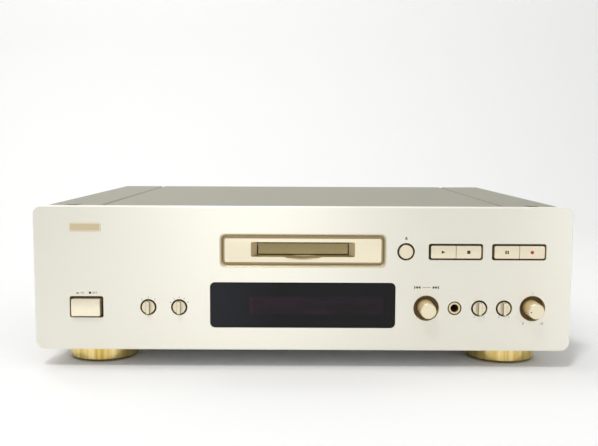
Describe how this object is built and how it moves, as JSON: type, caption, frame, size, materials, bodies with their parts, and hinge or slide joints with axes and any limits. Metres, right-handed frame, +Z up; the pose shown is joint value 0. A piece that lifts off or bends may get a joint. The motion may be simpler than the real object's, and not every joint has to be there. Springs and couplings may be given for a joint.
{
  "type": "minidisc deck",
  "caption": "Full-width hi-fi disc recorder with a slot-loading drive, a dark display window, keys, knobs and turned round feet.",
  "frame": {"origin": "on the floor, under the middle of the deck's overall box", "axes": "+X to the viewer's right from the front, +Y back into the cabinet, +Z up"},
  "size_m": [0.434, 0.344, 0.133],
  "materials": {
    "panel_aluminium": "fine horizontal brushing, champagne anodised",
    "frame_plastic": "fine texture",
    "badge_gold": "satin",
    "bezel_gold": "satin champagne",
    "flap_olive": "satin metallic",
    "window_smoke": "polished smoked acrylic",
    "tube_glass": "polished",
    "sensor_dark": "polished",
    "board_phenolic": "resin board",
    "screw_zinc": "zinc plated",
    "switch_black": "moulded",
    "button_gold": "satin champagne",
    "knob_gold": "turned champagne",
    "shaft_steel": "ground",
    "plunger_white": "moulded",
    "control_grey": "moulded",
    "jack_gold": "gold plated",
    "tray_zinc": "zinc plated sheet",
    "rear_paint": "black paint",
    "cover_paint": "satin metallic taupe",
    "screw_black": "black",
    "foot_brass": "polished, turned",
    "rubber_black": "matt",
    "holder_steel": "bright sheet",
    "mech_plastic": "moulded",
    "gear_nylon": "moulded",
    "motor_can": "drawn",
    "core_iron": "varnished laminations",
    "capacitor_sleeve": "sleeve",
    "sink_black": "black anodised",
    "board_green": "solder mask",
    "chip_black": "epoxy",
    "port_black": "moulded"
  },
  "bodies": {
    "cabinet": {"front_panel": "panel_aluminium", "front_frame": "frame_plastic", "badge_plate": "badge_gold", "slot_bezel": "bezel_gold", "display_window": "window_smoke", "display_tube": "tube_glass", "remote_sensor": "sensor_dark", "front_board": "board_phenolic", "power_board": "board_phenolic", "inner_screws": "screw_zinc", "key_switches": "switch_black", "power_switch": "switch_black", "guide_rods": "shaft_steel", "jog_encoder": "control_grey", "rotary_controls": "control_grey", "phones_jack": "jack_gold", "line_jacks": "jack_gold", "chassis_tray": "tray_zinc", "mech_bracket": "tray_zinc", "mech_base": "tray_zinc", "rear_panel": "rear_paint", "top_plate": "cover_paint", "side_cover_left": "cover_paint", "side_cover_right": "cover_paint", "case_screws": "screw_black", "feet": "foot_brass", "foot_pads": "rubber_black", "mech_dampers": "rubber_black", "loading_motor": "motor_can", "spindle_motor": "motor_can", "feed_motor": "motor_can", "transformer": "core_iron", "capacitors": "capacitor_sleeve", "heatsink": "sink_black", "main_board": "board_green", "board_chips": "chip_black", "optical_ports": "port_black", "ac_inlet": "port_black"},
    "flap": {"slot_flap": "flap_olive"},
    "power": {"power_button": "button_gold"},
    "eject": {"eject_button": "button_gold"},
    "play": {"play_button": "button_gold"},
    "stop": {"stop_button": "button_gold"},
    "pause": {"pause_button": "button_gold"},
    "record": {"rec_button": "button_gold"},
    "jog_push": {"jog_plunger": "plunger_white"},
    "jog_turn": {"jog_knob": "knob_gold", "jog_shaft": "shaft_steel"},
    "timer": {"timer_knob": "knob_gold"},
    "input_select": {"input_select_knob": "knob_gold"},
    "phones_level": {"phones_level_knob": "knob_gold"},
    "balance": {"balance_knob": "knob_gold"},
    "input_level": {"input_level_knob": "knob_gold"},
    "holder": {"cartridge_holder": "holder_steel"},
    "slider": {"cam_slider": "mech_plastic"},
    "gear": {"loading_gear": "gear_nylon"},
    "spindle": {"turntable": "mech_plastic"},
    "sled": {"pickup_sled": "mech_plastic"},
    "arm": {"head_arm": "holder_steel"},
    "screw": {"lead_screw": "shaft_steel"}
  },
  "joints": [
    {"name": "flap_swing", "type": "hinge", "parent": "cabinet", "child": "flap", "pos_m": [0, -0.1533, 0.1021], "axis": [-1, 0, 0], "range_deg": [-86, 0], "stiffness_Nm_per_rad": 0.01},
    {"name": "power_push", "type": "slide", "parent": "cabinet", "child": "power", "axis": [0, 1, 0], "range_m": [0, 0.0035], "stiffness_N_per_m": 600},
    {"name": "eject_push", "type": "slide", "parent": "cabinet", "child": "eject", "axis": [0, 1, 0], "range_m": [0, 0.0008], "stiffness_N_per_m": 500},
    {"name": "play_push", "type": "slide", "parent": "cabinet", "child": "play", "axis": [0, 1, 0], "range_m": [0, 0.0008], "stiffness_N_per_m": 500},
    {"name": "stop_push", "type": "slide", "parent": "cabinet", "child": "stop", "axis": [0, 1, 0], "range_m": [0, 0.0008], "stiffness_N_per_m": 500},
    {"name": "pause_push", "type": "slide", "parent": "cabinet", "child": "pause", "axis": [0, 1, 0], "range_m": [0, 0.0008], "stiffness_N_per_m": 500},
    {"name": "record_push", "type": "slide", "parent": "cabinet", "child": "record", "axis": [0, 1, 0], "range_m": [0, 0.0008], "stiffness_N_per_m": 500},
    {"name": "jog_press", "type": "slide", "parent": "cabinet", "child": "jog_push", "axis": [0, 1, 0], "range_m": [0, 0.0006], "stiffness_N_per_m": 800},
    {"name": "jog_spin", "type": "hinge", "parent": "jog_push", "child": "jog_turn", "pos_m": [0.1, -0.1595, 0.051], "axis": [0, 1, 0], "continuous": true},
    {"name": "timer_turn", "type": "hinge", "parent": "cabinet", "child": "timer", "pos_m": [-0.12499, -0.1595, 0.051], "axis": [0, 1, 0], "range_deg": [-40, 40]},
    {"name": "input_select_turn", "type": "hinge", "parent": "cabinet", "child": "input_select", "pos_m": [-0.1, -0.1595, 0.051], "axis": [0, 1, 0], "range_deg": [-60, 60]},
    {"name": "phones_level_turn", "type": "hinge", "parent": "cabinet", "child": "phones_level", "pos_m": [0.14301, -0.1595, 0.051], "axis": [0, 1, 0], "range_deg": [-150, 150]},
    {"name": "balance_turn", "type": "hinge", "parent": "cabinet", "child": "balance", "pos_m": [0.163, -0.1595, 0.051], "axis": [0, 1, 0], "range_deg": [-150, 150]},
    {"name": "input_level_turn", "type": "hinge", "parent": "cabinet", "child": "input_level", "pos_m": [0.18602, -0.1595, 0.051], "axis": [0, 1, 0], "range_deg": [-52, 248]},
    {"name": "slider_feed", "type": "slide", "parent": "cabinet", "child": "slider", "axis": [0, 1, 0], "range_m": [0, 0.014]},
    {"name": "holder_drop", "type": "slide", "parent": "cabinet", "child": "holder", "axis": [0, 0, -1], "range_m": [0, 0.006]},
    {"name": "gear_spin", "type": "hinge", "parent": "cabinet", "child": "gear", "pos_m": [-0.05078, -0.0995, 0.0851], "axis": [0, 0, 1], "range_deg": [0, 84]},
    {"name": "spindle_spin", "type": "hinge", "parent": "cabinet", "child": "spindle", "pos_m": [0, -0.1055, 0.087], "axis": [0, 0, 1], "continuous": true},
    {"name": "sled_feed", "type": "slide", "parent": "cabinet", "child": "sled", "axis": [1, 0, 0], "range_m": [0, 0.015]},
    {"name": "lead_spin", "type": "hinge", "parent": "cabinet", "child": "screw", "pos_m": [0.02, -0.1265, 0.0826], "axis": [1, 0, 0], "continuous": true},
    {"name": "arm_lower", "type": "hinge", "parent": "sled", "child": "arm", "pos_m": [0.0384, -0.1055, 0.1071], "axis": [0, -1, 0], "range_deg": [0, 18.1]}
  ],
  "couplings": [
    {"joint": "holder_drop", "follows": "slider_feed", "ratio": 0.42857},
    {"joint": "gear_spin", "follows": "slider_feed", "rad_per_m": 104.17},
    {"joint": "arm_lower", "follows": "slider_feed", "rad_per_m": 22.4},
    {"joint": "lead_spin", "follows": "sled_feed", "rad_per_m": 3141.6}
  ]
}
